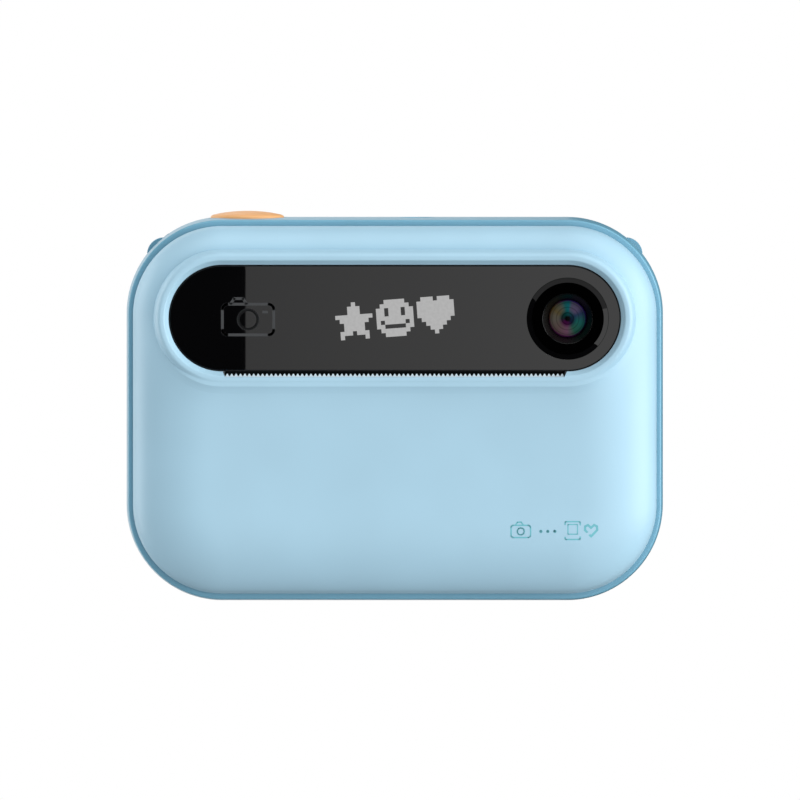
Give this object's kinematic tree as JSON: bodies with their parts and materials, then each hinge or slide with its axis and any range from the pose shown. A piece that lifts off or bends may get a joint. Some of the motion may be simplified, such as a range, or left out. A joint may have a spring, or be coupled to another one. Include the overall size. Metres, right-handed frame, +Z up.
{
  "type": "kids instant print camera",
  "caption": "Compact pillow-shaped toy camera with a racetrack front panel, round lens, toothed paper slot, top shutter button and an internal roll printer.",
  "frame": {"origin": "on the surface the camera stands on, under the middle of its body", "axes": "+X along the width, to the right as the lens is faced; the lens looks along -Y; +Z up"},
  "size_m": [0.0964, 0.042, 0.0699],
  "materials": {
    "cover_blue": "fine satin moulded ABS, pale sky blue",
    "bar_blue": "pale blue moulded strip with saw teeth",
    "frame_blue": "smooth moulded ABS, deeper sky blue",
    "steel": "bright steel",
    "panel_black": "polished black acrylic panel",
    "lens_black": "matt black moulded ring",
    "barrel_grey": "dark grey moulded plastic",
    "lens_glass": "coated clear lens",
    "board_green": "green glass-epoxy circuit board",
    "display_black": "display module with a black face",
    "soft_grey": "grey silicone membrane",
    "battery_silver": "silver-grey foil pouch",
    "card_black": "black moulded card",
    "button_orange": "satin pale orange cap",
    "spring_steel": "drawn spring wire",
    "key_blue": "satin mid blue key cap",
    "rubber_black": "black roller rubber",
    "gear_white": "natural white acetal",
    "aluminium": "bare aluminium",
    "bay_grey": "pale grey moulded tray",
    "paper_white": "smooth white thermal paper",
    "card_board": "brown rolled board"
  },
  "bodies": {
    "camera_body": {"front_cover": "cover_blue", "tear_bar": "bar_blue", "middle_frame": "frame_blue", "strap_loop_left": "frame_blue", "strap_loop_right": "frame_blue", "back_cover": "cover_blue", "door_pin": "steel", "screw_top_left": "steel", "screw_top_right": "steel", "screw_bottom_left": "steel", "screw_bottom_right": "steel", "front_panel": "panel_black", "lens_ring": "lens_black", "lens_barrel": "barrel_grey", "lens_front_element": "lens_glass", "lens_rear_element": "lens_glass", "camera_board": "board_green", "front_display": "display_black", "rear_display": "display_black", "display_window": "panel_black", "main_board": "board_green", "top_board": "board_green", "keypad_board": "board_green", "keypad_membrane": "soft_grey", "battery": "battery_silver", "speaker": "barrel_grey", "usb_port": "steel", "card_socket": "steel", "shutter_spring": "spring_steel", "power_spring": "spring_steel", "reduction_pin": "steel", "motor": "steel", "printer_frame": "aluminium", "head_spring_left": "spring_steel", "head_spring_right": "spring_steel", "paper_bay": "bay_grey", "paper_web": "paper_white"},
    "shutter_button": {"shutter_button": "button_orange"},
    "power_key": {"power_key": "frame_blue"},
    "up_key": {"up_key": "key_blue"},
    "down_key": {"down_key": "key_blue"},
    "left_key": {"left_key": "key_blue"},
    "right_key": {"right_key": "key_blue"},
    "ok_key": {"ok_key": "key_blue"},
    "menu_key": {"menu_key": "key_blue"},
    "print_key": {"print_key": "button_orange"},
    "paper_door": {"paper_door": "cover_blue"},
    "port_cover": {"port_cover": "frame_blue"},
    "memory_card": {"memory_card": "card_black"},
    "platen": {"platen_roller": "rubber_black", "platen_shaft": "steel", "platen_gear": "gear_white"},
    "reduction_gear": {"reduction_gear": "gear_white"},
    "motor_pinion": {"motor_pinion": "gear_white"},
    "paper_roll": {"paper_roll": "paper_white", "roll_core": "card_board"},
    "print_head": {"thermal_head": "aluminium", "head_bracket": "steel"}
  },
  "joints": [
    {"name": "shutter_press", "type": "slide", "parent": "camera_body", "child": "shutter_button", "axis": [0, 0, -1], "range_m": [0, 0.001], "stiffness_N_per_m": 900, "springref_m": -0.0005, "deforming": ["shutter_spring"]},
    {"name": "power_press", "type": "slide", "parent": "camera_body", "child": "power_key", "axis": [0, 0, -1], "range_m": [0, 0.001], "stiffness_N_per_m": 700, "springref_m": -0.0005, "deforming": ["power_spring"]},
    {"name": "up_press", "type": "slide", "parent": "camera_body", "child": "up_key", "axis": [0, -1, 0], "range_m": [0, 0.0006], "stiffness_N_per_m": 1500, "springref_m": -0.0003},
    {"name": "down_press", "type": "slide", "parent": "camera_body", "child": "down_key", "axis": [0, -1, 0], "range_m": [0, 0.0006], "stiffness_N_per_m": 1500, "springref_m": -0.0003},
    {"name": "left_press", "type": "slide", "parent": "camera_body", "child": "left_key", "axis": [0, -1, 0], "range_m": [0, 0.0006], "stiffness_N_per_m": 1500, "springref_m": -0.0003},
    {"name": "right_press", "type": "slide", "parent": "camera_body", "child": "right_key", "axis": [0, -1, 0], "range_m": [0, 0.0006], "stiffness_N_per_m": 1500, "springref_m": -0.0003},
    {"name": "ok_press", "type": "slide", "parent": "camera_body", "child": "ok_key", "axis": [0, -1, 0], "range_m": [0, 0.0006], "stiffness_N_per_m": 1500, "springref_m": -0.0003},
    {"name": "menu_press", "type": "slide", "parent": "camera_body", "child": "menu_key", "axis": [0, -1, 0], "range_m": [0, 0.0006], "stiffness_N_per_m": 1500, "springref_m": -0.0003},
    {"name": "print_press", "type": "slide", "parent": "camera_body", "child": "print_key", "axis": [0, -1, 0], "range_m": [0, 0.0006], "stiffness_N_per_m": 1500, "springref_m": -0.0003},
    {"name": "paper_door_hinge", "type": "hinge", "parent": "camera_body", "child": "paper_door", "pos_m": [0, 0.0186, 0.0044], "axis": [-1, 0, 0], "range_deg": [0, 90]},
    {"name": "port_cover_hinge", "type": "hinge", "parent": "camera_body", "child": "port_cover", "pos_m": [0.0479, 0.0073, 0.03475], "axis": [0, 0, 1], "range_deg": [0, 100]},
    {"name": "memory_card_push", "type": "slide", "parent": "camera_body", "child": "memory_card", "axis": [-1, 0, 0], "range_m": [0, 0.0006], "stiffness_N_per_m": 600, "springref_m": -0.0003},
    {"name": "platen_spin", "type": "hinge", "parent": "camera_body", "child": "platen", "pos_m": [0, -0.0124, 0.0371], "axis": [1, 0, 0], "continuous": true},
    {"name": "reduction_spin", "type": "hinge", "parent": "camera_body", "child": "reduction_gear", "pos_m": [-0.0336, -0.00654, 0.033], "axis": [1, 0, 0], "continuous": true},
    {"name": "pinion_spin", "type": "hinge", "parent": "camera_body", "child": "motor_pinion", "pos_m": [-0.0347, -0.00379, 0.02271], "axis": [1, 0, 0], "continuous": true},
    {"name": "roll_spin", "type": "hinge", "parent": "camera_body", "child": "paper_roll", "pos_m": [0, 0.003, 0.0186], "axis": [1, 0, 0], "continuous": true},
    {"name": "head_lift", "type": "hinge", "parent": "camera_body", "child": "print_head", "pos_m": [0, -0.0016, 0.0429], "axis": [-1, 0, 0], "range_deg": [0, 3], "stiffness_Nm_per_rad": 0.6, "springref_deg": -3.44, "deforming": ["head_spring_left", "head_spring_right"]}
  ],
  "couplings": [
    {"joint": "reduction_spin", "follows": "platen_spin", "ratio": -1.8},
    {"joint": "pinion_spin", "follows": "platen_spin", "ratio": 5.76},
    {"joint": "roll_spin", "follows": "platen_spin", "ratio": -0.28986}
  ]
}
